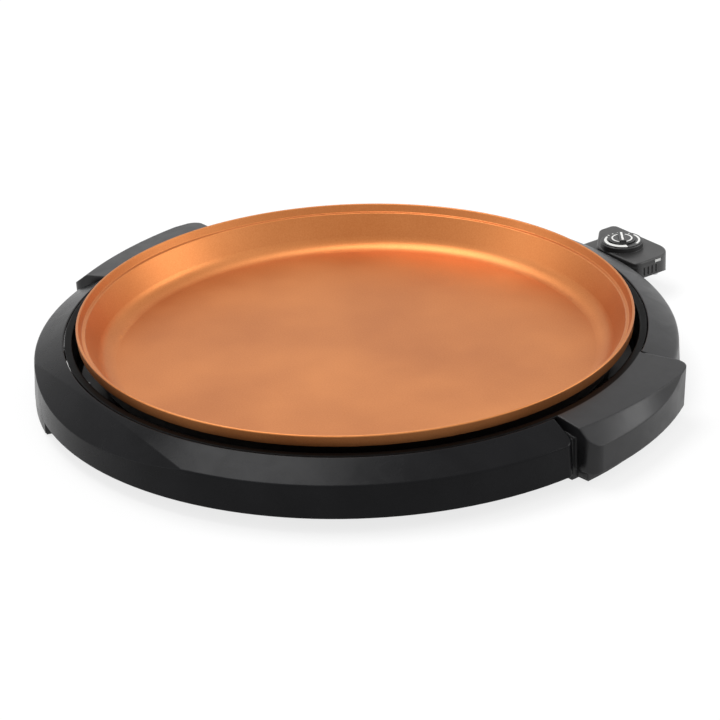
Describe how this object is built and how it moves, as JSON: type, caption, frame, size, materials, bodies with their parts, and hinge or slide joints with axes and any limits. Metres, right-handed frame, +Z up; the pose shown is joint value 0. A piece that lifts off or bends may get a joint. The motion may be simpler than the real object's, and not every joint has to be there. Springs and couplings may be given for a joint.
{
  "type": "round electric grill pan",
  "caption": "Round open electric grill: deep-rimmed copper-coloured pan that lifts out of a low black ring base with side handles and a plug-in dial control.",
  "frame": {"origin": "the middle of the round cooking surface, 24 mm above the table that the foot pads stand on", "axes": "+Z up along the pan's axis; +X across the ring towards the right handle; the plug-in control stands behind, 75.2 degrees anticlockwise from +X"},
  "size_m": [0.4862, 0.5095, 0.0537],
  "materials": {
    "copper_coating": "satin copper-coloured non-stick coating",
    "black_plastic": "semi-gloss black moulded plastic",
    "case_plastic": "fine-textured black moulded plastic",
    "bright_sheet": "bright rolled sheet",
    "black_sheet": "black painted steel sheet",
    "element_sheath": "oxidised tubular sheath",
    "plated_steel": "zinc-plated steel",
    "brass": "nickel-flashed brass",
    "ceramic": "glazed ceramic",
    "rubber": "black silicone rubber",
    "scale_plate": "black plate with pale printed scale",
    "pale_mark": "pale pointer strip",
    "lamp_window": "clear pilot lamp window",
    "stainless": "stainless tube"
  },
  "bodies": {
    "base": {"base_ring": "black_plastic", "front_cover": "black_plastic", "rear_cover": "black_plastic", "heat_reflector": "bright_sheet", "bottom_plate": "black_sheet", "heating_element": "element_sheath", "element_clips": "plated_steel", "pan_supports": "plated_steel", "terminal_bracket": "plated_steel", "terminal_pins": "brass", "terminal_insulators": "ceramic", "probe_guide": "stainless", "guide_saddle": "plated_steel", "base_screws": "plated_steel", "cover_screws": "plated_steel", "bracket_screws": "plated_steel", "foot_pads": "rubber"},
    "pan": {"pan": "copper_coating"},
    "control": {"control_lower_shell": "case_plastic", "control_upper_shell": "case_plastic", "lamp_lens": "lamp_window", "pilot_lamp": "lamp_window", "control_nose": "case_plastic", "probe_tube": "stainless", "thermostat_frame": "plated_steel", "arm_block": "ceramic", "contact_arms": "brass", "contact_rivets": "stainless", "cord_gland": "rubber", "case_screws": "plated_steel", "dial_plate": "scale_plate", "contact_sleeves": "brass"},
    "knob": {"dial_knob": "case_plastic", "knob_pointer": "pale_mark", "dial_spindle": "plated_steel", "spindle_clip": "plated_steel"}
  },
  "joints": [
    {"name": "pan_lift", "type": "slide", "parent": "base", "child": "pan", "axis": [0, 0, 1], "range_m": [0, 0.12]},
    {"name": "control_unplug", "type": "slide", "parent": "base", "child": "control", "axis": [0.2554, 0.9668, 0], "range_m": [0, 0.09]},
    {"name": "dial_turn", "type": "hinge", "parent": "control", "child": "knob", "pos_m": [0.06521, 0.24683, 0.012], "axis": [0, 0, -1], "range_deg": [0, 270]}
  ]
}
